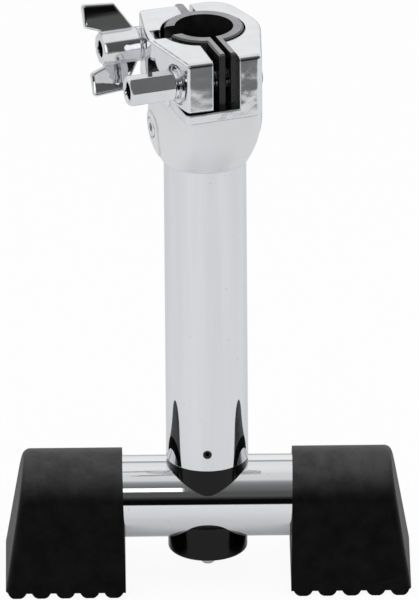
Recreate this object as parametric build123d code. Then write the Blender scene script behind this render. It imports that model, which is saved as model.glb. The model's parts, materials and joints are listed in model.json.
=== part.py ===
from build123d import *
import os
from math import acos, atan2, cos, hypot, pi, radians, sin, sqrt, tan

# A T-shaped stand foot: a short cross tube on two rubber boots carries an upright leg tube,
# and a cast head on the leg clamps a 25.4 mm post in a split sleeve.
# Millimetres. Z is up from the floor, X runs along the cross tube, and the origin lies on the
# floor under the leg's axis. The head is drawn square, its slot facing -Y, and is then turned
# on the leg.

# ---- tubes ----
tube_d = 38.1                # outside of the cross tube and of the leg
tube_wall = 2.0
axis_height = 37.5           # cross tube's axis above the floor
base_length = 166.0
leg_length = 185.4

# ---- rubber boots ----
boot_wall = 3.5              # rubber over the tube
boot_grip = 44.0             # length of tube inside a boot
boot_end_wall = 5.4          # rubber beyond the tube's end, at the axis
boot_end_slope = 8.9         # degrees, outer end
boot_inner_slope = 1.2       # degrees, inner end
boot_half_depth = 31.6       # at the floor
boot_edge_round = 3.6
ridge_count = 5
ridge_depth = 2.3
ridge_gap = 2.6              # flat between two ridges
ridge_flat = 3.2             # flat that a ridge stands on
ridge_belly = 0.34           # share of the depth where a ridge's side bulges most

# ---- saddles between the tubes ----
saddle_crown = 1.75          # plastic between cross tube and leg
saddle_inset = 0.25          # upper saddle inside the leg's outside
upper_tip_height = 8.0       # front and back tips stop this far above the axis
tip_outline = ((0.0, 0.0), (7.0, 2.9), (14.0, 7.9), (19.5, 10.8))  # half of a tip, from its lowest point
lower_saddle_r = 18.4
lower_saddle_drop = 25.6     # bottom face below the axis
lower_tip_drop = 9.5
lower_edge_round = 1.2
washer_recess = 4.2

# ---- plug in the leg ----
plug_length = 25.0
plug_screw_height = 8.4      # above the leg's lower end
plug_screw_length = 9.0
plug_screw_sunk = 0.4        # its outer end below the leg's surface

# ---- M8 and smaller hardware ----
m8_r = 4.0
m8_pitch = 1.25
m8_head_af = 13.0
m8_head = 5.3
m8_nut = 5.3
plug_screw_r = 2.0
plug_screw_socket_af = 2.0
base_washer_r = 8.0
base_washer_thick = 1.6
spring_r = 7.0
spring_thick = 1.8
bolt_end_depth = 20.0        # base bolt's thread inside the plug
bolt_show = 3.8              # base bolt below its nut
bolt_point = 1.5             # chamfer of that end

# ---- head casting ----
head_turn = 18.7             # degrees about the leg, slot towards +X
socket_depth = 34.6          # leg inside the barrel
barrel_inset = 0.3           # barrel inside the collar's outside
barrel_rim_wall = 1.1
barrel_taper = 20.4          # height over which the barrel narrows to its rim
web = 4.1                    # floor between the leg's end and the collar
lip = 4.5                    # plate under the two clamp halves
slit = 1.6                   # air under the loose jaw
collar_r = 26.2
collar_height = 24.0
top_round = 1.9
front_reach = 38.5
jaw_rear_reach = 30.5
body_rear_reach = 29.3
body_front_angle = 18.5      # degrees each side runs in towards the front
jaw_front_angle = 13.5
body_rear_angle = 14.0
jaw_rear_angle = 10.0
body_front_round = 3.5
body_rear_round = 13.0
jaw_front_round = 1.5
jaw_rear_round = 2.5
lip_left = 22.0
lip_rear_reach = 28.5
lip_round = 2.5
body_front_gap = 4.0         # body's front face of the slot, from the centre plane
body_rear_gap = 3.0
jaw_rear_gap = 3.7
pad_rise = 0.6
pad_half_width = 7.0
pad_above = 8.0
pad_below = 15.0

# ---- how the casting spreads from the barrel to the lip ----
skirt_inset = 0.8            # skirt's top edge inside the lip's
skirt_ease = 1.25            # 1 is a straight slope; more starts it softly
skirt_blend = 1.5            # softens the line where a lug leaves the round
corner_power = 5             # higher gives the lugs sharper corners
skirt_levels = 5
skirt_points = 48

# ---- screws that hold the head on the leg ----
head_screw_height = 18.6     # above the barrel's rim
head_screw_r = 3.0
head_screw_head_r = 4.6
head_screw_head = 3.0
head_screw_edge = 0.6
head_screw_socket_af = 4.0
head_screw_socket = 2.0      # depth
head_screw_recess = 3.2

# ---- clamp bolts ----
bolt_drop = 13.4             # both bolts below the collar's top
front_bolt_y = -28.0
rear_bolt_y = 22.5
front_seat = 11.2            # bolt head seats on the body, from the centre plane
rear_seat = 16.0
front_face = 21.9            # washer faces on the open jaw
rear_face = 23.2
front_washer_r = 8.75
front_washer_thick = 1.6
spring_turn = 130.0          # where the split washer's cut stands
long_nut_af = 12.5
long_nut_roll = 38.0
long_nut_mouth = 0.6         # chamfer of its open end
nut_length = 21.6
rear_washer_r = 8.0
rear_washer_thick = 1.8
bolt_short = 7.0             # a bolt ends this far inside its nut
jaw_hole_slack = 1.0         # lets the jaw tilt on the bolts
seat_slack = 0.8             # spot face around a washer

# ---- wing nut ----
hub_r = 8.0
hub_sides = 10
hub_edge = 0.8
hub_length = 17.8
wing_root = 0.4              # blade's inner edge from the hub's inner end
wing_in_span = 20.3          # inner tip corner from the axis
wing_out_span = 21.5         # outer tip corner from the axis
wing_tip_in = 8.6            # tip's two corners, along the axis from the hub's inner end
wing_tip_out = 24.0
wing_step_out = 10.4         # outer corner's underside from the axis
wing_corner = 1.6
wing_thick = 3.8
wing_rim_round = 1.2
wing_lean = 23.0             # degrees from upright

# ---- jaw swing ----
jaw_open = 2.8               # degrees open as drawn

# ---- split sleeve ----
post_bore_r = 13.5
sleeve_r = 18.2
sleeve_room = 0.8            # between sleeve and collar
sleeve_proud = 1.0
sleeve_edge = 0.8
sleeve_slot = 2.8            # between its flanges
flange_thick = 2.9
flange_reach = 34.5
fin_thick = 4.0
fin_shift = 1.3
fin_reach = 32.5
fin_below_top = 1.0
notch_width = 10.0
notch_depth = 5.0
notch_end = 23.6             # its outer end from the axis, in the shut jaw
post_slack = 1.3             # web's hole around a post in the shut sleeve
post_r = 12.7

# ---- clearances ----
grip_gap = 0.02              # rubber on tube, and plug in tube
thread_gap = 0.05            # screw in its thread
turn_gap = 0.08              # head on leg
hole_gap = 0.4               # bolt in a plain hole
head_gap = 0.6               # bolt head's corners in its seat
end_gap = 0.1                # leg's end under the web, washer bores
flange_gap = 0.05            # sleeve's flange on the body
shut_gap = 1.2               # sleeve's flange to the shut jaw

tube_r = tube_d / 2
bore_r = tube_r - tube_wall
barrel_r = collar_r - barrel_inset
collar_bore_r = sleeve_r + sleeve_room
slot_x = body_front_gap - flange_gap - flange_thick - sleeve_slot / 2
jaw_front_gap = sleeve_slot / 2 + flange_thick + shut_gap - slot_x


def cylinder_z(radius, low, high, x=0.0, y=0.0):
    return Pos(x, y, (low + high) / 2) * Cylinder(radius, high - low)


def cylinder_x(radius, low, high, y=0.0, z=0.0):
    return Pos((low + high) / 2, y, z) * Rot(0, 90, 0) * Cylinder(radius, high - low)


def block(x0, x1, y0, y1, z0, z1):
    return Pos((x0 + x1) / 2, (y0 + y1) / 2, (z0 + z1) / 2) * Box(x1 - x0, y1 - y0, z1 - z0)


def hex_z(across_flats, low, high):
    side = RegularPolygon(across_flats / 2, 6, major_radius=False)
    return extrude(Pos(0, 0, low) * side, high - low)


def ring_x(outer_r, inner_r, low, high, y, z):
    return cylinder_x(outer_r, low, high, y, z) - cylinder_x(inner_r, low - 1, high + 1, y, z)


def corner_cut(across_flats, low, high, both_ends=True):
    """A turned blank, along Z, that takes the corners off a hexagon's ends."""
    corner_r = across_flats / sqrt(3)
    flat_r = across_flats / 2
    rise = (corner_r - flat_r) * tan(radians(30))
    foot = [(flat_r, low), (corner_r, low + rise)] if both_ends else [(corner_r, low)]
    rim = [(corner_r, high - rise), (flat_r, high)]
    outline = Polyline((0, low), *foot, *rim, (0, high), close=True)
    return revolve(Plane.XZ * make_face(outline), Axis.Z)


def spring_washer(radius, bore, thick):
    """A split washer lying on Z = 0; its two ends part by one small saw cut."""
    cut = block(0, radius + 1, -0.6, 0.6, -1, thick + 1)
    ring = cylinder_z(radius, 0, thick) - cylinder_z(bore, -1, thick + 1)
    return ring - Pos(0, 0, thick / 2) * Rot(25, 0, 0) * Pos(0, 0, -thick / 2) * cut


def along_x(shape, start, y, z, toward=1):
    """Stands a Z-built piece on the plane X = start, pointing along +X or -X."""
    return Pos(start, y, z) * Rot(0, 90 * toward, 0) * shape


# ---- levels ----
leg_low = axis_height + tube_r + saddle_crown
leg_high = leg_low + leg_length
rim_z = leg_high - socket_depth
lip_top = leg_high + end_gap + web
lip_low = lip_top - lip
jaw_low = lip_top + slit
collar_top = jaw_low + collar_height
bolt_z = collar_top - bolt_drop
sleeve_top = collar_top + sleeve_proud
head_screw_z = rim_z + head_screw_height
head_screw_seat = barrel_r + pad_rise - head_screw_recess
lower_face = axis_height - lower_saddle_drop
washer_seat = lower_face + washer_recess

os.makedirs("parts", exist_ok=True)
pieces = {}


# ---- base ----
def base_tube():
    half = base_length / 2
    tube = cylinder_x(tube_r, -half, half, 0, axis_height)
    tube -= cylinder_x(bore_r, -half - 1, half + 1, 0, axis_height)
    return tube - cylinder_z(m8_r + hole_gap, 0, axis_height + tube_d)


def boot():
    """The boot on the +X end. A section across the tube meets the side view."""
    arch_r = tube_r + boot_wall
    reach = hypot(boot_half_depth, axis_height)
    lean = acos(arch_r / reach) - atan2(axis_height, boot_half_depth)
    side_y = arch_r * cos(lean)
    side_z = axis_height + arch_r * sin(lean)
    across = make_face(
        Polyline((-side_y, side_z), (-boot_half_depth, 0), (boot_half_depth, 0), (side_y, side_z))
        + ThreePointArc((side_y, side_z), (0, axis_height + arch_r), (-side_y, side_z))
    )
    inner_axis_x = base_length / 2 - boot_grip
    outer_axis_x = base_length / 2 + boot_end_wall
    top = axis_height + arch_r

    def inner_x(z):
        return inner_axis_x + (z - axis_height) * tan(radians(boot_inner_slope))

    def outer_x(z):
        return outer_axis_x - (z - axis_height) * tan(radians(boot_end_slope))

    body = extrude(Plane.YZ * across, outer_x(0) + 10)
    view = make_face(Polyline((inner_x(0), 0), (outer_x(0), 0), (outer_x(top + 1), top + 1),
                              (inner_x(top + 1), top + 1), close=True))
    body &= extrude(Plane.XZ * view, boot_half_depth + 5, both=True)
    outer_edges = body.edges().filter_by_position(Axis.X, outer_x(top) - 0.5, outer_x(0) + 0.5)
    body = fillet(outer_edges.filter_by(lambda e: e.center().Z > 1), boot_edge_round)
    sole_low = inner_x(0)
    pitch = (outer_x(0) - sole_low) / ridge_count
    for i in range(ridge_count + 1):
        centre = sole_low + i * pitch
        side = (pitch - ridge_flat) / 2
        slope_x = 0.42 * side + 0.58 * ridge_gap / 2
        groove = make_face(
            Polyline((centre - side, -1), (centre - side, 0))
            + ThreePointArc((centre - side, 0),
                            (centre - slope_x, ridge_depth * ridge_belly),
                            (centre - ridge_gap / 2, ridge_depth))
            + Polyline((centre - ridge_gap / 2, ridge_depth), (centre + ridge_gap / 2, ridge_depth))
            + ThreePointArc((centre + ridge_gap / 2, ridge_depth),
                            (centre + slope_x, ridge_depth * ridge_belly),
                            (centre + side, 0))
            + Polyline((centre + side, 0), (centre + side, -1), (centre - side, -1))
        )
        body -= extrude(Plane.XZ * groove, boot_half_depth + 5, both=True)
    return body - cylinder_x(tube_r + grip_gap, 0, base_length / 2 + grip_gap, 0, axis_height)


def upper_saddle():
    """Sits on the cross tube; its front and back hang down in rounded tips."""
    right = [(x, axis_height + upper_tip_height + above) for x, above in tip_outline]
    left = [(-x, z) for x, z in reversed(right[1:])]
    floor = [(right[-1][0], 0), (left[0][0], 0)]
    below = make_face(Spline(*left, *right) + Polyline(right[-1], *floor, left[0]))
    saddle = cylinder_z(tube_r - saddle_inset, axis_height, leg_low)
    saddle -= extrude(Plane.XZ * below, tube_d, both=True)
    saddle -= cylinder_x(tube_r, -tube_d, tube_d, 0, axis_height)
    return saddle - cylinder_z(m8_r + hole_gap, axis_height, leg_low + 1)


def lower_saddle():
    saddle = cylinder_z(lower_saddle_r, lower_face, axis_height - lower_tip_drop)
    saddle = fillet(saddle.edges().sort_by(Axis.Z)[0], lower_edge_round)
    saddle -= cylinder_x(tube_r, -tube_d, tube_d, 0, axis_height)
    saddle -= cylinder_z(base_washer_r + 2 * hole_gap, lower_face - 1, washer_seat)
    return saddle - cylinder_z(m8_r + hole_gap, lower_face - 1, axis_height)


def leg_tube():
    tube = cylinder_z(tube_r, leg_low, leg_high) - cylinder_z(bore_r, leg_low - 1, leg_high + 1)
    hole = Pos(0, 0, leg_low + plug_screw_height) * Rot(90, 0, 0) * Cylinder(
        plug_screw_r + thread_gap, tube_d, align=(Align.CENTER, Align.CENTER, Align.MIN))
    return tube - hole


def plug_screw_blank(radius, extra):
    """A bar along Y from just inside the leg's outside inwards, at the plug screw's height."""
    bar = Cylinder(radius, plug_screw_length + extra, align=(Align.CENTER, Align.CENTER, Align.MIN))
    start = plug_screw_sunk - tube_r
    return Pos(0, start, leg_low + plug_screw_height) * Rot(-90, 0, 0) * bar


def leg_plug():
    plug = cylinder_z(bore_r - grip_gap, leg_low, leg_low + plug_length)
    plug -= cylinder_z(m8_r + thread_gap, leg_low - 1, leg_low + plug_length + 1)
    return plug - plug_screw_blank(plug_screw_r + thread_gap, thread_gap)


def plug_screw():
    socket = Pos(0, -tube_r, leg_low + plug_screw_height) * Rot(-90, 0, 0)
    return plug_screw_blank(plug_screw_r, 0) - socket * hex_z(plug_screw_socket_af, -1,
                                                              2 * plug_screw_socket_af)


nut_top = washer_seat - base_washer_thick - spring_thick


def base_bolt():
    """A stud that is screwed into the plug and comes out under the lower saddle."""
    stud = cylinder_z(m8_r, nut_top - m8_nut - bolt_show, leg_low + bolt_end_depth)
    return chamfer(stud.faces().sort_by(Axis.Z)[0].edges(), bolt_point)


def base_nut():
    low = nut_top - m8_nut
    nut = hex_z(m8_head_af, low, nut_top) & corner_cut(m8_head_af, low, nut_top)
    return nut - cylinder_z(m8_r + thread_gap, 0, axis_height)


def base_washer():
    low = washer_seat - base_washer_thick
    return cylinder_z(base_washer_r, low, washer_seat) - cylinder_z(m8_r + end_gap, 0, axis_height)


def base_spring():
    return Pos(0, 0, nut_top) * spring_washer(spring_r, m8_r + end_gap, spring_thick)


# ---- head, drawn square ----
def collar_plan(front_angle, rear_angle, rear_reach, front_round, rear_round):
    """The collar seen from above: a round with a front and a rear lug."""
    near, far = radians(front_angle), radians(rear_angle)
    front_half = collar_r / cos(near) - front_reach * tan(near)
    rear_half = collar_r / cos(far) - rear_reach * tan(far)
    right = [(front_half, -front_reach), (collar_r * cos(near), -collar_r * sin(near)),
             (collar_r * cos(far), collar_r * sin(far)), (rear_half, rear_reach)]
    left = [(-x, y) for x, y in reversed(right)]
    lugs = make_face(Polyline(*right, *left, close=True))
    front = [v for v in lugs.vertices() if abs(v.Y + front_reach) < 1e-3]
    lugs = fillet(front, front_round)
    rear = [v for v in lugs.vertices() if abs(v.Y - rear_reach) < 1e-3]
    return fillet(rear, rear_round) + Circle(collar_r)


def collar_blank(plan, low):
    blank = extrude(Pos(0, 0, low) * plan, collar_top - low)
    return fillet(blank.faces().sort_by(Axis.Z)[-1].edges(), top_round)


def wall_radius(height):
    """Outside of the plain barrel at a height above its rim: an arc, then straight."""
    narrow = barrel_r - tube_r - barrel_rim_wall
    bend = (narrow ** 2 + barrel_taper ** 2) / (2 * narrow)
    below = max(0.0, barrel_taper - height)
    return barrel_r - bend + sqrt(bend ** 2 - below ** 2)


def lug_excess(angle):
    """How far the lugs' softened outline stands outside the barrel, in one direction."""
    sides = ((-90.0, front_reach), (180.0, lip_left), (90.0, lip_rear_reach),
             (-body_front_angle, collar_r), (body_rear_angle, collar_r))
    total = 0.0
    for facing, distance in sides:
        toward = cos(angle - radians(facing))
        if toward > 0:
            total += (toward / (distance - skirt_inset)) ** corner_power
    outside = total ** (-1 / corner_power) - barrel_r
    return (outside + sqrt(outside ** 2 + skirt_blend ** 2)) / 2


def skirt(rise=0.0):
    """The casting below the lip: round at its rim, spreading into the lugs at its top."""
    height = lip_low - rim_z
    sections = []
    for i in range(skirt_levels + 1):
        share = i / skirt_levels
        outline = []
        for k in range(skirt_points):
            angle = 2 * pi * k / skirt_points
            radius = wall_radius(share * height) + share ** skirt_ease * lug_excess(angle) + rise
            outline.append((radius * cos(angle), radius * sin(angle)))
        sections.append(Pos(0, 0, rim_z + share * height) * make_face(Spline(*outline, periodic=True)))
    return loft(sections)


def screw_pads():
    """Low oval pads round the two fixing screws; they follow the barrel's own curve."""
    upper = Ellipse(pad_half_width, pad_above) & Pos(0, pad_above) * Rectangle(
        4 * pad_half_width, 2 * pad_above)
    lower = Ellipse(pad_half_width, pad_below) & Pos(0, -pad_below) * Rectangle(
        4 * pad_half_width, 2 * pad_below)
    bar = extrude(Plane.YZ.offset(-2 * barrel_r) * (upper + lower), 4 * barrel_r)
    return skirt(pad_rise) & Pos(0, 0, head_screw_z) * bar


def lip_plate():
    """The plate under the loose jaw, and the round that it joins."""
    plate = make_face(Polyline((0, -front_reach), (-lip_left, -front_reach),
                               (-lip_left, lip_rear_reach), (0, lip_rear_reach), close=True))
    plate = fillet([v for v in plate.vertices() if v.X < -1], lip_round)
    half_round = Circle(collar_r) & Pos(-collar_r, 0) * Rectangle(2 * collar_r, 4 * collar_r)
    return extrude(Pos(0, 0, lip_low) * (plate + half_round), lip_top - lip_low)


def clamp_head():
    body = skirt() + screw_pads()
    plan = collar_plan(body_front_angle, body_rear_angle, body_rear_reach, body_front_round,
                       body_rear_round)
    far = 2 * front_reach
    body += collar_blank(plan, lip_low) & block(0, far, -far, far, 0, collar_top + 1)
    body += lip_plate()
    above = (lip_top, collar_top + 1)
    body -= block(-far, 0, -far, far, *above)
    body -= block(-1, body_front_gap, -far, 0, *above)
    body -= block(-1, body_rear_gap, 0, far, *above)
    body -= cylinder_z(collar_bore_r, *above)
    body -= cylinder_z(tube_r + turn_gap, rim_z - 1, leg_high + end_gap)
    body -= cylinder_z(post_r + post_slack, rim_z, collar_top)
    for y, seat in ((front_bolt_y, front_seat), (rear_bolt_y, rear_seat)):
        body -= cylinder_x(m8_r + hole_gap, 0, far, y, bolt_z)
        body -= cylinder_x(m8_head_af / sqrt(3) + head_gap, seat, far, y, bolt_z)
    for side in (-1, 1):
        near, end = sorted((side * head_screw_seat, side * far))
        body -= cylinder_x(head_screw_head_r + hole_gap, near, end, 0, head_screw_z)
    return body - cylinder_x(head_screw_r + thread_gap, -barrel_r, barrel_r, 0, head_screw_z)


pivot_x = -rear_face
pivot_y = rear_bolt_y + rear_washer_r


def swung_open(shape):
    return Pos(pivot_x, pivot_y, 0) * Rot(0, 0, -jaw_open) * Pos(-pivot_x, -pivot_y, 0) * shape


def clamp_jaw():
    plan = collar_plan(jaw_front_angle, jaw_rear_angle, jaw_rear_reach, jaw_front_round,
                       jaw_rear_round)
    far = 2 * front_reach
    whole = (jaw_low, collar_top + 1)
    jaw = collar_blank(plan, jaw_low) & block(-far, -jaw_rear_gap, -far, far, *whole)
    jaw -= block(-jaw_front_gap, 0, -far, 0, *whole)
    jaw -= cylinder_z(collar_bore_r, *whole)
    jaw -= block(-notch_end, 0, -notch_width / 2, notch_width / 2,
                 collar_top - notch_depth, collar_top + 1)
    jaw = swung_open(jaw)
    seats = ((front_bolt_y, front_face, front_washer_r), (rear_bolt_y, rear_face, rear_washer_r))
    for y, face, radius in seats:
        jaw -= cylinder_x(radius + seat_slack, -far, -face, y, bolt_z)
        jaw -= cylinder_x(m8_r + jaw_hole_slack, -far, 0, y, bolt_z)
    return jaw


def clamp_sleeve():
    ring = cylinder_z(sleeve_r, lip_top, sleeve_top)
    flange_half = sleeve_slot / 2 + flange_thick
    ring += block(slot_x - flange_half, slot_x + flange_half, -flange_reach, 0, lip_top, sleeve_top)
    ring = chamfer(ring.faces().sort_by(Axis.Z)[-1].edges(), sleeve_edge)
    fin = block(-fin_shift - fin_thick / 2, -fin_shift + fin_thick / 2, 0, fin_reach,
                lip_top, collar_top - fin_below_top)
    ring += fillet(fin.edges().filter_by(Axis.Z).sort_by(Axis.Y)[-2:], fin_thick * 0.45)
    ring -= cylinder_z(post_bore_r, lip_top - 1, sleeve_top + 1)
    ring -= block(slot_x - sleeve_slot / 2, slot_x + sleeve_slot / 2, -flange_reach - 1, 0,
                  lip_top - 1, sleeve_top + 1)
    ring -= block(-2 * sleeve_r, 0, -notch_width / 2, notch_width / 2,
                  collar_top - notch_depth, sleeve_top + 1)
    for y in (front_bolt_y, rear_bolt_y):
        ring -= cylinder_x(m8_r + hole_gap, -collar_r, collar_r, y, bolt_z)
    return ring


def head_screw(side):
    high = head_screw_seat + head_screw_head
    shank = cylinder_z(head_screw_r, tube_r + turn_gap, head_screw_seat)
    head = cylinder_z(head_screw_head_r, head_screw_seat, high)
    screw = shank + fillet(head.edges().sort_by(Axis.Z)[-1], head_screw_edge)
    screw -= hex_z(head_screw_socket_af, high - head_screw_socket, high + 1)
    return along_x(screw, 0, 0, head_screw_z, side)


def clamp_bolt(seat, end, y):
    """Its head seats on the body at +X; the shank runs through both halves to -X."""
    head = hex_z(m8_head_af, 0, m8_head) & corner_cut(m8_head_af, 0, m8_head, False)
    return along_x(head, seat, y, bolt_z) + cylinder_x(m8_r, -end, seat, y, bolt_z)


nut_start = front_face + front_washer_thick + spring_thick
wing_start = rear_face + rear_washer_thick


def front_washer():
    return ring_x(front_washer_r, m8_r + end_gap, -front_face - front_washer_thick, -front_face,
                  front_bolt_y, bolt_z)


def front_spring():
    ring = Rot(0, 0, spring_turn) * spring_washer(spring_r, m8_r + end_gap, spring_thick)
    return along_x(ring, -front_face - front_washer_thick, front_bolt_y, bolt_z, -1)


def rear_washer():
    return ring_x(rear_washer_r, m8_r + end_gap, -wing_start, -rear_face, rear_bolt_y, bolt_z)


def long_nut():
    nut = hex_z(long_nut_af, 0, nut_length) & corner_cut(long_nut_af, 0, nut_length)
    nut -= cylinder_z(m8_r + thread_gap, -1, nut_length + 1)
    bore_edges = nut.edges().filter_by(GeomType.CIRCLE).group_by(SortBy.RADIUS)[0]
    nut = chamfer(bore_edges.sort_by(Axis.Z)[-1], long_nut_mouth)
    return along_x(Rot(0, 0, long_nut_roll) * nut, -nut_start, front_bolt_y, bolt_z, -1)


def wing_nut():
    hub = extrude(RegularPolygon(hub_r, hub_sides), hub_length)
    hub = chamfer(hub.faces().sort_by(Axis.Z)[-1].edges(), hub_edge)
    high = hub_length - hub_edge
    wing = make_face(Polyline((0, wing_root), (hub_r * cos(pi / hub_sides) ** 2, wing_root),
                              (wing_in_span, wing_tip_in), (wing_out_span, wing_tip_out),
                              (wing_step_out, wing_tip_out), (hub_r, high), (0, high), close=True))
    wing = fillet([v for v in wing.vertices() if v.X > wing_step_out - 0.1], wing_corner)
    blade = extrude(Plane.XZ * wing, wing_thick / 2, both=True)
    rims = blade.edges().filter_by(lambda e: abs(abs(e.center().Y) - wing_thick / 2) < 1e-3
                                   and e.center().X > hub_r * 0.8)
    blade = fillet(rims, wing_rim_round)
    nut = hub + blade + Rot(0, 0, 180) * blade
    nut -= cylinder_z(m8_r + thread_gap, -1, hub_length + 1)
    return along_x(Rot(0, 0, wing_lean) * nut, -wing_start, rear_bolt_y, bolt_z, -1)


def on_leg(shape):
    """Turns the square head on the leg."""
    return Rot(0, 0, head_turn) * shape


right_boot = boot()
pieces["base_tube"] = base_tube()
pieces["foot_right"] = right_boot
pieces["foot_left"] = Rot(0, 0, 180) * right_boot
pieces["upper_saddle"] = upper_saddle()
pieces["lower_saddle"] = lower_saddle()
pieces["leg_tube"] = leg_tube()
pieces["leg_plug"] = leg_plug()
pieces["plug_screw"] = plug_screw()
pieces["base_bolt"] = base_bolt()
pieces["base_nut"] = base_nut()
pieces["base_bolt_washer"] = base_washer()
pieces["base_bolt_spring_washer"] = base_spring()
pieces["clamp_head"] = on_leg(clamp_head())
pieces["clamp_jaw"] = on_leg(clamp_jaw())
pieces["clamp_sleeve"] = on_leg(clamp_sleeve())
pieces["head_screw_left"] = on_leg(head_screw(-1))
pieces["head_screw_right"] = on_leg(head_screw(1))
pieces["front_bolt"] = on_leg(clamp_bolt(front_seat, nut_start + nut_length - bolt_short,
                                         front_bolt_y))
pieces["rear_bolt"] = on_leg(clamp_bolt(rear_seat, wing_start + hub_length - bolt_short,
                                        rear_bolt_y))
pieces["hex_nut_washer"] = on_leg(front_washer())
pieces["hex_nut_spring_washer"] = on_leg(front_spring())
pieces["hex_nut"] = on_leg(long_nut())
pieces["wing_nut_washer"] = on_leg(rear_washer())
pieces["wing_nut"] = on_leg(wing_nut())

for node, shape in pieces.items():
    export_step(shape, f"parts/{node}.step")
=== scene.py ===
import json
import math

import bpy
from mathutils import Matrix, Vector

# The T-shaped stand foot dressed in its finishes: polished chrome tubes, a plated casting,
# plated fasteners, moulded rubber boots, glossy plastic saddles and a nylon sleeve.
# Metres. Z is up from the floor, X runs along the cross tube, and the front faces -Y.

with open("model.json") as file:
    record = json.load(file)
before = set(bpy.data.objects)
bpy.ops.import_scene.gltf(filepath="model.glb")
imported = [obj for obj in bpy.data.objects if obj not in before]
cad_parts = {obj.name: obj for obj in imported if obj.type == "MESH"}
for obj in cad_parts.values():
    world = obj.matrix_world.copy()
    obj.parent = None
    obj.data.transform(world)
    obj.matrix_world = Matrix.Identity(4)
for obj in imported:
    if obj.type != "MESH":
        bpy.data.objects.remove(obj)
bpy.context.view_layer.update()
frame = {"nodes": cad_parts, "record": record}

MM = 0.001

# ---- camera ----
IMAGE_HEIGHT = 600.0         # pixels
PIXELS_PER_MM = 2.1663       # at the point that the camera aims at
CAMERA_DISTANCE = 8.5
CAMERA_CLIP = (1.0, 100.0)
CAMERA_ELEVATION = 24.16     # degrees, as the next two
CAMERA_AZIMUTH = 0.36
CAMERA_ROLL = 0.43
AIM = Vector((1.61 * MM, 0.0, 136.6 * MM))
SENSOR = 36.0                # millimetres

# ---- places on the object where a finish changes ----
HEAD_TURN = 18.7             # degrees, the head about the leg
LIP_UNDERSIDE = 0.2434       # below this height the casting is left satin
THREAD_PITCH = 0.00125
THREAD_REACH = 0.0125        # thread showing each side of the clamp's centre plane
THREAD_RISE = 0.0002         # from the middle of a ring's flank to its crest
HUB_LEVEL = 0.2601           # middle of the wing nut's hub
PAD_SPACING = 0.024          # from one thumb pad's middle to the other's
PAD_DEPTH = 0.0005           # how far a pad's middle lies below its mean level

# ---- plating ----
CHROME_TINT = (0.77, 0.777, 0.793)
ZINC_TINT = (0.50, 0.51, 0.52)
# painted shade: the colour of the bolt shanks where they lie in the slot between the clamp halves
SLOT_SHADE_TINT = (0.22, 0.22, 0.225)
GRAZING_TINT = (0.85, 0.85, 0.86)
TARNISH_SHARE = 0.86         # how bright fully tarnished plating still is
SATIN_TINT = (0.82, 0.825, 0.84)
SATIN_METALLIC = 0.2
NO_SATIN = -1.0              # a height under the whole object
EVEN = (1.0, 1.0, 1.0)       # a pattern as long one way as another
UPRIGHT = (1.0, 1.0, 0.05)   # drawn out along Z
LENGTHWAYS = (0.05, 1.0, 1.0)        # drawn out along X
LEVEL_BANDS = (0.1, 0.1, 1.0)        # drawn out along X and Y

# ---- floor ----
FLOOR_HALF = 8.0
PAPER_COLOUR = (0.88, 0.885, 0.895)
PAPER_FRONT = -0.703         # where the white paper ends, straight in front
PAPER_SLANT = 0.55           # how much nearer that edge comes for each metre to the right
PAPER_FADE = (0.015, 0.035)  # the paper fades out between these distances past its edge
EDGE_WANDER = 0.05           # how far its edge wanders
EDGE_SCALE = 60.0
CAMERA_GLOW = 0.93           # share of plain white in the floor that the camera sees
MIRROR_GLOW = 0.25           # and in the floor that chrome reflects
BARE_REACH = (0.03, 0.45)    # past the paper the floor darkens between these distances
BARE_LEVELS = (0.2, 0.01)

# ---- room and lamps ----
ROOM_LIGHT = 0.62            # light from all round
ROOM_SKEW = 0.19             # how far, in half turns, the room's bands climb towards the right
SKEWED_ABOVE = (0.17, 0.30)  # the climb sets in between these heights, in half turns
# What chrome sees going up from the front horizon (0), over the top (90) to the back (180).
ROOM_IN_CHROME = (
    (0, 0.002), (11, 0.004), (16, 0.04), (21, 0.10), (31, 0.10), (36, 0.14), (48, 0.20),
    (55, 0.27), (61, 0.40), (67, 0.82), (84, 0.84), (97, 0.96), (110, 1.0), (128, 0.92),
    (132, 0.45), (136, 0.45), (140, 1.08), (171, 1.06), (180, 0.4))
TOP_LAMP = dict(place=(0.15, 0.10, 1.7), size=(1.6, 1.6), target=AIM,
                radiance=1.35, shown_in_chrome=False)
STRIP_LAMP = dict(place=(-0.79, -0.62, 0.55), size=(1.564, 0.15),
                  target=Vector((-0.79, 0.0, 0.1)), radiance=1.5, shown_in_chrome=True)

# ---- names and numbers that Blender gives to sockets ----
VALUE, VECTOR, COLOUR = "NodeSocketFloat", "NodeSocketVector", "NodeSocketColor"
MIX_SOCKETS = {"FLOAT": (2, 3, 0), "RGBA": (6, 7, 2)}       # a Mix node's A, B and result


# =========================================================== node helpers
def feed(tree, socket, value):
    """Links another node's output to a socket, or sets a plain value on it."""
    if isinstance(value, bpy.types.NodeSocket):
        tree.links.new(value, socket)
    else:
        socket.default_value = value


def add(tree, kind, inputs=None, **settings):
    """Adds a node with these settings, feeds its inputs by name or number, gives its outputs."""
    made = tree.nodes.new(kind)
    for key, value in settings.items():
        setattr(made, key, value)
    for key, value in (inputs or {}).items():
        feed(tree, made.inputs[key], value)
    return made.outputs


def opaque(colour):
    return (*colour, 1.0)


def neutral(level):
    return (level, level, level, 1.0)


def maths(tree, operation, *operands):
    return add(tree, "ShaderNodeMath", dict(enumerate(operands)), operation=operation)["Value"]


def mapped(tree, value, source=(0.0, 1.0), target=(0.0, 1.0), easing="LINEAR"):
    """The value carried from one range to another, and held at its ends."""
    inputs = {"Value": value, "From Min": source[0], "From Max": source[1],
              "To Min": target[0], "To Max": target[1]}
    return add(tree, "ShaderNodeMapRange", inputs, interpolation_type=easing)["Result"]


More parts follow.
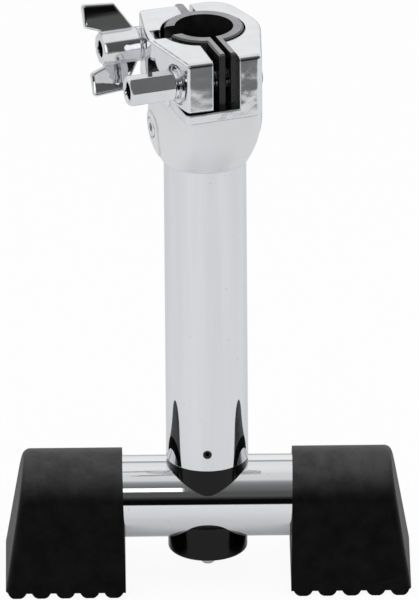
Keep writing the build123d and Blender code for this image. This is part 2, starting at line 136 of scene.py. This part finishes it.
def mixed(tree, share, first, second, kind="RGBA", held=True):
    """From first to second by a share; one that isn't held may go beyond second."""
    a, b, result = MIX_SOCKETS[kind]
    return add(tree, "ShaderNodeMix", {"Factor": share, a: first, b: second},
               data_type=kind, clamp_factor=held)[result]


def noise(tree, where, scale, detail, roughness=0.5):
    inputs = {"Vector": where, "Scale": scale, "Detail": detail, "Roughness": roughness}
    return add(tree, "ShaderNodeTexNoise", inputs)["Fac"]


def place_on_object(tree):
    return add(tree, "ShaderNodeTexCoord")["Object"]


def parts_of(tree, vector):
    return add(tree, "ShaderNodeSeparateXYZ", {"Vector": vector})


def stretched(tree, vector, stretch):
    return add(tree, "ShaderNodeVectorMath", {0: vector, 1: stretch},
               operation="MULTIPLY")["Vector"]


def turns_along(tree, distance, spacing):
    """The angle that makes one whole turn for each spacing along a distance."""
    return maths(tree, "MULTIPLY", maths(tree, "DIVIDE", distance, spacing), 2.0 * math.pi)


def group_tree(name, inputs, outputs):
    """An empty group: inputs are (name, kind, default), outputs (name, kind)."""
    tree = bpy.data.node_groups.new(name, "ShaderNodeTree")
    for label, kind, default in inputs:
        socket = tree.interface.new_socket(name=label, in_out="INPUT", socket_type=kind)
        socket.default_value = default
    for label, kind in outputs:
        tree.interface.new_socket(name=label, in_out="OUTPUT", socket_type=kind)
    given = tree.nodes.new("NodeGroupInput").outputs
    put = tree.nodes.new("NodeGroupOutput").inputs
    return tree, given, put


def use_group(tree, group, values):
    """Places a group in a material with its own values for some inputs, gives its outputs."""
    return add(tree, "ShaderNodeGroup", values, node_tree=group)


# =========================================================== shared effects
def make_polish_group():
    """Buffed metal: long soft waves, fine orange peel, dull spots, satin below a height."""
    spot_scale, spot_levels = 60.0, (0.5, 0.78)
    tree, given, put = group_tree(
        "polish",
        [("Wave Scale", VALUE, 40.0), ("Wave Stretch", VECTOR, EVEN),
         ("Wave Height", VALUE, 0.0001),
         ("Peel Scale", VALUE, 350.0), ("Peel Height", VALUE, 0.00001),
         ("Low Roughness", VALUE, 0.03), ("High Roughness", VALUE, 0.1),
         ("Satin Below", VALUE, NO_SATIN), ("Satin Roughness", VALUE, 0.4)],
        [("Roughness", VALUE), ("Height", VALUE), ("Satin", VALUE)])
    place = place_on_object(tree)
    waves = noise(tree, stretched(tree, place, given["Wave Stretch"]), given["Wave Scale"],
                  detail=1.0)
    peel = noise(tree, place, given["Peel Scale"], detail=3.0)
    spots = noise(tree, place, spot_scale, detail=4.0)
    buffed = mapped(tree, spots, spot_levels, (given["Low Roughness"], given["High Roughness"]))
    satin = maths(tree, "LESS_THAN", parts_of(tree, place)["Z"], given["Satin Below"])
    swell = maths(tree, "MULTIPLY", waves, given["Wave Height"])
    feed(tree, put["Roughness"],
         mixed(tree, satin, buffed, given["Satin Roughness"], kind="FLOAT"))
    feed(tree, put["Height"], maths(tree, "MULTIPLY_ADD", peel, given["Peel Height"], swell))
    feed(tree, put["Satin"], satin)
    return tree


def make_tarnish_group():
    """Faint age in plating: soft streaks along one way, fine grain and a few dark specks."""
    streak_levels, grain_scale, speck_strength = (0.38, 0.66), 2200.0, 1.6
    tree, given, put = group_tree(
        "tarnish",
        [("Streak Scale", VALUE, 130.0), ("Streak Stretch", VECTOR, UPRIGHT),
         ("Streak Share", VALUE, 0.45), ("Grain Share", VALUE, 0.2),
         ("Speck Scale", VALUE, 170.0), ("Speck Radius", VALUE, 0.06)],
        [("Amount", VALUE)])
    place = place_on_object(tree)
    streaks = noise(tree, stretched(tree, place, given["Streak Stretch"]),
                    given["Streak Scale"], detail=3.0)
    banded = mapped(tree, streaks, streak_levels, (0.0, given["Streak Share"]))
    grain = noise(tree, place, grain_scale, detail=1.0)
    grained = maths(tree, "MULTIPLY_ADD", grain, given["Grain Share"], banded)
    cells = add(tree, "ShaderNodeTexVoronoi", {"Vector": place, "Scale": given["Speck Scale"]})
    specks = maths(tree, "LESS_THAN", cells["Distance"], given["Speck Radius"])
    feed(tree, put["Amount"], maths(tree, "MULTIPLY_ADD", specks, speck_strength, grained))
    return tree


def make_painted_top_light_group():
    """Painted top light: a paler colour on surfaces that face up, in soft uneven clouds."""
    cloud_levels = (0.35, 0.65)
    tree, given, put = group_tree(
        "painted_top_light_mask",
        [("Low Slope", VALUE, 0.3), ("High Slope", VALUE, 1.0),
         ("Cloud Scale", VALUE, 90.0), ("Evenness", VALUE, 0.6)],
        [("Amount", VALUE)])
    upward = parts_of(tree, add(tree, "ShaderNodeNewGeometry")["Normal"])["Z"]
    facing_up = mapped(tree, upward, (given["Low Slope"], given["High Slope"]),
                       easing="SMOOTHSTEP")
    clouds = noise(tree, place_on_object(tree), given["Cloud Scale"], detail=5.0,
                   roughness=0.6)
    uneven = mapped(tree, clouds, cloud_levels, (given["Evenness"], 1.0))
    feed(tree, put["Amount"], maths(tree, "MULTIPLY", facing_up, uneven))
    return tree


def make_dish_group():
    """Shallow dishes one above the other, in metres of height, as on a wing nut's thumb pads."""
    tree, given, put = group_tree(
        "dishes",
        [("Level", VALUE, 0.0), ("Spacing", VALUE, PAD_SPACING), ("Depth", VALUE, PAD_DEPTH)],
        [("Height", VALUE)])
    above = maths(tree, "SUBTRACT", parts_of(tree, place_on_object(tree))["Z"], given["Level"])
    wave = maths(tree, "COSINE", turns_along(tree, above, given["Spacing"]))
    feed(tree, put["Height"], maths(tree, "MULTIPLY", wave, given["Depth"]))
    return tree


def make_thread_group():
    """A screw thread along one level direction: fine rings of height, and a mask for painted
    shade in the clamp's slot.

    Beyond the reach, on both sides of the middle, there are no rings and no painted shade.
    """
    tree, given, put = group_tree(
        "screw_thread",
        [("Turned", VALUE, 0.0), ("Pitch", VALUE, THREAD_PITCH), ("Reach", VALUE, THREAD_REACH)],
        [("Height", VALUE), ("Slot Shade", VALUE)])
    turned = add(tree, "ShaderNodeVectorRotate",
                 {"Vector": place_on_object(tree), "Angle": given["Turned"]},
                 rotation_type="Z_AXIS")
    along = parts_of(tree, turned["Vector"])["X"]
    rings = maths(tree, "SINE", turns_along(tree, along, given["Pitch"]))
    within = maths(tree, "LESS_THAN", maths(tree, "ABSOLUTE", along), given["Reach"])
    feed(tree, put["Height"], maths(tree, "MULTIPLY", rings, within))
    feed(tree, put["Slot Shade"], within)
    return tree


def make_mould_group():
    """Moulded rubber and plastic: fine grain in the surface, cloudy in tone and in gloss."""
    tone_levels = (0.35, 0.7)
    tree, given, put = group_tree(
        "mould_grain",
        [("Grain Scale", VALUE, 1500.0), ("Cloud Scale", VALUE, 60.0),
         ("Dark", COLOUR, neutral(0.02)), ("Light", COLOUR, neutral(0.04)),
         ("Low Roughness", VALUE, 0.5), ("High Roughness", VALUE, 0.7)],
        [("Color", COLOUR), ("Roughness", VALUE), ("Height", VALUE)])
    place = place_on_object(tree)
    clouds = noise(tree, place, given["Cloud Scale"], detail=6.0, roughness=0.65)
    feed(tree, put["Color"],
         mixed(tree, mapped(tree, clouds, tone_levels), given["Dark"], given["Light"]))
    feed(tree, put["Roughness"],
         mapped(tree, clouds, target=(given["Low Roughness"], given["High Roughness"])))
    feed(tree, put["Height"], noise(tree, place, given["Grain Scale"], detail=2.0))
    return tree


POLISH = make_polish_group()
TARNISH = make_tarnish_group()
PAINTED_TOP_LIGHT = make_painted_top_light_group()
DISHES = make_dish_group()
THREAD = make_thread_group()
MOULD = make_mould_group()


# =========================================================== finishes
def new_material(name):
    material = bpy.data.materials.new(name)
    material.use_nodes = True
    material.node_tree.nodes.clear()
    return material, material.node_tree


def finish_with(tree, inputs):
    """Ends a material in a Principled shader with these inputs."""
    shader = add(tree, "ShaderNodeBsdfPrincipled", inputs)
    add(tree, "ShaderNodeOutputMaterial", {"Surface": shader["BSDF"]})


def chrome(name, waves, peel, rough, edge, tint=CHROME_TINT, stretch=EVEN, streaks=UPRIGHT,
           satin_below=NO_SATIN, dished=False):
    """Mirror plating.

    `waves` are a scale and a height in metres, `peel` the height of the orange peel, `rough`
    the roughness of clear and of dull spots, and `edge` the radius of worn corners. Under
    `satin_below` the metal is rougher, paler and less of a mirror. A dished wing nut has
    hollow thumb pads.
    """
    material, tree = new_material(name)
    polish = use_group(tree, POLISH, {
        "Wave Scale": waves[0], "Wave Height": waves[1], "Wave Stretch": stretch,
        "Peel Height": peel, "Low Roughness": rough[0], "High Roughness": rough[1],
        "Satin Below": satin_below})
    height = polish["Height"]
    if dished:
        pads = use_group(tree, DISHES,
                         {"Level": HUB_LEVEL, "Spacing": PAD_SPACING, "Depth": PAD_DEPTH})
        height = maths(tree, "ADD", height, pads["Height"])
    worn = add(tree, "ShaderNodeBevel", {"Radius": edge}, samples=6)
    relief = add(tree, "ShaderNodeBump",
                 {"Distance": 1.0, "Height": height, "Normal": worn["Normal"]})
    aged = use_group(tree, TARNISH, {"Streak Stretch": streaks})
    tarnished = opaque(TARNISH_SHARE * level for level in tint)
    colour = mixed(tree, aged["Amount"], opaque(tint), tarnished, held=False)
    metallic = 1.0
    if satin_below > NO_SATIN:
        colour = mixed(tree, polish["Satin"], colour, opaque(SATIN_TINT))
        metallic = mapped(tree, polish["Satin"], target=(1.0, SATIN_METALLIC))
    finish_with(tree, {"Metallic": metallic, "Specular Tint": opaque(GRAZING_TINT),
                       "Base Color": colour, "Roughness": polish["Roughness"],
                       "Normal": relief["Normal"]})
    return material


def threaded_bolt(name, rough):
    """A plated bolt whose shank is threaded, with painted shade on it between the two clamp
    halves.
    """
    material, tree = new_material(name)
    polish = use_group(tree, POLISH, {"Low Roughness": rough[0], "High Roughness": rough[1]})
    thread = use_group(tree, THREAD, {"Turned": -math.radians(HEAD_TURN),
                                      "Pitch": THREAD_PITCH, "Reach": THREAD_REACH})
    relief = add(tree, "ShaderNodeBump", {"Distance": THREAD_RISE, "Height": thread["Height"]})
    # Painted shade where the shank lies in the slot between the clamp halves.
    colour = mixed(tree, thread["Slot Shade"], opaque(CHROME_TINT), opaque(SLOT_SHADE_TINT))
    finish_with(tree, {"Metallic": 1.0, "Base Color": colour,
                       "Roughness": polish["Roughness"], "Normal": relief["Normal"]})
    return material


def moulded(name, tones, rough, grain, clouds, rise, specular, top_light_colour, slopes):
    """Rubber or plastic.

    `tones` are its dark and light colours, `rough` the least and most roughness, `grain` and
    `clouds` the scales of its two patterns, `rise` the grain's height in metres,
    `top_light_colour` the paler colour painted on as top light, and `slopes` how far up a
    surface faces where that painted top light starts and where it is full.
    """
    material, tree = new_material(name)
    grained = use_group(tree, MOULD, {
        "Grain Scale": grain, "Cloud Scale": clouds,
        "Dark": opaque(tones[0]), "Light": opaque(tones[1]),
        "Low Roughness": rough[0], "High Roughness": rough[1]})
    lit_from_above = use_group(tree, PAINTED_TOP_LIGHT, {"Low Slope": slopes[0], "High Slope": slopes[1],
                                     "Cloud Scale": clouds})
    # Painted top light: a paler colour on the faces that look up.
    colour = mixed(tree, lit_from_above["Amount"], grained["Color"], opaque(top_light_colour))
    relief = add(tree, "ShaderNodeBump", {"Distance": rise, "Height": grained["Height"]})
    finish_with(tree, {"Specular IOR Level": specular, "Base Color": colour,
                       "Roughness": grained["Roughness"], "Normal": relief["Normal"]})
    return material


def grey(level):
    """A grey with the faint blue of cool studio light."""
    return level, level, 1.04 * level


TUBE_CHROME = chrome("tube_chrome", waves=(25.0, 0.00002), peel=0.0000004,
                     rough=(0.02, 0.07), edge=0.0003)
CROSS_CHROME = chrome("cross_chrome", waves=(25.0, 0.00002), peel=0.0000004,
                      rough=(0.02, 0.07), edge=0.0003, streaks=LENGTHWAYS)
CAST_CHROME = chrome("cast_chrome", waves=(110.0, 0.0001), peel=0.00001,
                     rough=(0.03, 0.10), edge=0.0010, satin_below=LIP_UNDERSIDE)
WING_CHROME = chrome("wing_chrome", waves=(160.0, 0.0003), peel=0.000005,
                     rough=(0.03, 0.10), edge=0.0012, stretch=LEVEL_BANDS, dished=True)
NUT_CHROME = chrome("nut_chrome", waves=(120.0, 0.00006), peel=0.000004,
                    rough=(0.04, 0.12), edge=0.0006)
BOLT_CHROME = threaded_bolt("bolt_chrome", rough=(0.05, 0.14))
PLUG_ZINC = chrome("plug_zinc", waves=(200.0, 0.00003), peel=0.000001,
                   rough=(0.25, 0.45), edge=0.0003, tint=ZINC_TINT)
# The last colour given to each of these finishes is painted top light, laid on the faces that
# look up.
BLACK_STEEL = moulded("black_steel", tones=(grey(0.006), grey(0.02)), rough=(0.35, 0.5),
                      grain=1800.0, clouds=150.0, rise=0.00002, specular=0.4,
                      top_light_colour=grey(0.03), slopes=(0.6, 1.0))
BOOT_RUBBER = moulded("boot_rubber", tones=(grey(0.0003), grey(0.005)), rough=(0.40, 0.54),
                      grain=1400.0, clouds=110.0, rise=0.00016, specular=0.12,
                      top_light_colour=grey(0.064), slopes=(0.25, 1.0))
SADDLE_PLASTIC = moulded("saddle_plastic", tones=(grey(0.0004), grey(0.002)),
                         rough=(0.10, 0.18), grain=1600.0, clouds=90.0, rise=0.00002,
                         specular=0.24, top_light_colour=grey(0.02), slopes=(0.5, 1.0))
SLEEVE_NYLON = moulded("sleeve_nylon", tones=(grey(0.006), grey(0.02)), rough=(0.22, 0.34),
                       grain=1800.0, clouds=90.0, rise=0.00003, specular=0.6,
                       top_light_colour=grey(0.27), slopes=(0.6, 1.0))

# A node takes its finish from its material slot, unless it has one of its own.
FINISH = {
    "chrome_tube": TUBE_CHROME,
    "chrome_casting": CAST_CHROME,
    "chrome_hardware": NUT_CHROME,
    "zinc_plug": PLUG_ZINC,
    "black_oxide": BLACK_STEEL,
    "boot_rubber": BOOT_RUBBER,
    "saddle_plastic": SADDLE_PLASTIC,
    "sleeve_nylon": SLEEVE_NYLON,
}
OWN_FINISH = {
    "base_tube": CROSS_CHROME,
    "front_bolt": BOLT_CHROME,
    "rear_bolt": BOLT_CHROME,
    "wing_nut": WING_CHROME,
}


def dress_nodes():
    for part in frame["record"]["subparts"]:
        mesh = frame["nodes"][part["node"]].data
        mesh.materials.clear()
        mesh.materials.append(OWN_FINISH.get(part["node"], FINISH[part["material_slot"]]))


# =========================================================== surroundings
def floor_material():
    """White paper that keeps a soft shadow; past its front edge lies the room's dark floor.

    Only reflections show that dark floor. The camera sees paper everywhere.
    """
    material, tree = new_material("floor_paper")
    ray = add(tree, "ShaderNodeLightPath")
    camera_glow = maths(tree, "MULTIPLY", ray["Is Camera Ray"], CAMERA_GLOW)
    glow_share = maths(tree, "MULTIPLY_ADD", ray["Is Glossy Ray"], MIRROR_GLOW, camera_glow)
    paper = add(tree, "ShaderNodeBsdfDiffuse", {"Color": opaque(PAPER_COLOUR)})
    glow = add(tree, "ShaderNodeEmission")
    lit_paper = add(tree, "ShaderNodeMixShader",
                    {"Fac": glow_share, 1: paper["BSDF"], 2: glow["Emission"]})
    place = place_on_object(tree)
    spot = parts_of(tree, place)
    edge = maths(tree, "MULTIPLY_ADD", spot["X"], PAPER_SLANT, PAPER_FRONT)
    past = maths(tree, "SUBTRACT", edge, spot["Y"])
    wander = noise(tree, place, EDGE_SCALE, detail=3.0)
    past_wandering = maths(tree, "MULTIPLY_ADD", wander, EDGE_WANDER, past)
    bare_share = maths(tree, "MULTIPLY", mapped(tree, past_wandering, PAPER_FADE),
                       ray["Is Glossy Ray"])
    bare = add(tree, "ShaderNodeEmission",
               {"Color": mapped(tree, past, BARE_REACH, BARE_LEVELS)})
    floor = add(tree, "ShaderNodeMixShader",
                {"Fac": bare_share, 1: lit_paper["Shader"], 2: bare["Emission"]})
    add(tree, "ShaderNodeOutputMaterial", {"Surface": floor["Shader"]})
    return material


def lay_floor():
    half = FLOOR_HALF
    corners = [(-half, -half, 0.0), (half, -half, 0.0), (half, half, 0.0), (-half, half, 0.0)]
    mesh = bpy.data.meshes.new("floor")
    mesh.from_pydata(corners, [], [(0, 1, 2, 3)])
    mesh.materials.append(floor_material())
    floor = bpy.data.objects.new("floor", mesh)
    bpy.context.scene.collection.objects.link(floor)


def bands_of_the_room(tree):
    """ROOM_IN_CHROME for a direction, by its angle over the top; the bands climb to the right."""
    toward = parts_of(tree, add(tree, "ShaderNodeTexCoord")["Generated"])
    forward = maths(tree, "MULTIPLY", toward["Y"], -1.0)
    half_turns = maths(tree, "DIVIDE", maths(tree, "ARCTAN2", toward["Z"], forward), math.pi)
    rightward = maths(tree, "MAXIMUM", toward["X"], 0.0)
    climb = maths(tree, "MULTIPLY", rightward, mapped(tree, half_turns, SKEWED_ABOVE))
    skewed = maths(tree, "MULTIPLY_ADD", climb, -ROOM_SKEW, half_turns)
    ramp = tree.nodes.new("ShaderNodeValToRGB")
    feed(tree, ramp.inputs["Fac"], skewed)
    stops = ramp.color_ramp.elements
    for stop, (degrees, level) in zip(stops, (ROOM_IN_CHROME[0], ROOM_IN_CHROME[-1])):
        stop.position = degrees / 180.0
        stop.color = neutral(level)
    for degrees, level in ROOM_IN_CHROME[1:-1]:
        stops.new(degrees / 180.0).color = neutral(level)
    return ramp.outputs["Color"]


def build_studio():
    """White to the camera, even light on the object, and a banded room for chrome to mirror."""
    world = bpy.data.worlds.new("studio")
    world.use_nodes = True
    bpy.context.scene.world = world
    tree = world.node_tree
    tree.nodes.clear()
    ray = add(tree, "ShaderNodeLightPath")
    room = mixed(tree, ray["Is Glossy Ray"], neutral(ROOM_LIGHT), bands_of_the_room(tree))
    seen = mixed(tree, ray["Is Camera Ray"], room, neutral(1.0))
    back = add(tree, "ShaderNodeBackground", {"Color": seen})
    add(tree, "ShaderNodeOutputWorld", {"Surface": back["Background"]})


def hang_lamp(name, place, size, target, radiance, shown_in_chrome):
    """A flat lamp that faces its target; radiance 1 looks plain white in chrome."""
    data = bpy.data.lights.new(name, "AREA")
    data.shape = "RECTANGLE"
    data.size, data.size_y = size
    data.energy = radiance * math.pi * size[0] * size[1]
    lamp = bpy.data.objects.new(name, data)
    bpy.context.scene.collection.objects.link(lamp)
    lamp.location = place
    lamp.rotation_mode = "QUATERNION"
    lamp.rotation_quaternion = (target - lamp.location).to_track_quat("-Z", "Y")
    lamp.visible_camera = False
    lamp.visible_glossy = shown_in_chrome


def set_the_camera():
    azimuth, elevation = math.radians(CAMERA_AZIMUTH), math.radians(CAMERA_ELEVATION)
    toward_camera = Vector((-math.sin(azimuth) * math.cos(elevation),
                            -math.cos(azimuth) * math.cos(elevation), math.sin(elevation)))
    data = bpy.data.cameras.new("camera")
    camera = bpy.data.objects.new("camera", data)
    bpy.context.scene.collection.objects.link(camera)
    view_height = IMAGE_HEIGHT / PIXELS_PER_MM * MM
    data.sensor_width = SENSOR
    data.lens = SENSOR * CAMERA_DISTANCE / view_height
    data.clip_start, data.clip_end = CAMERA_CLIP
    camera.location = AIM + toward_camera * CAMERA_DISTANCE
    facing = (-toward_camera).to_track_quat("-Z", "Y").to_matrix()
    roll = Matrix.Rotation(math.radians(-CAMERA_ROLL), 3, "Z")
    camera.rotation_mode = "QUATERNION"
    camera.rotation_quaternion = (facing @ roll).to_quaternion()
    bpy.context.scene.camera = camera


dress_nodes()
lay_floor()
build_studio()
hang_lamp("top_lamp", **TOP_LAMP)
hang_lamp("strip_lamp", **STRIP_LAMP)
set_the_camera()
bpy.context.scene.view_settings.view_transform = "Standard"
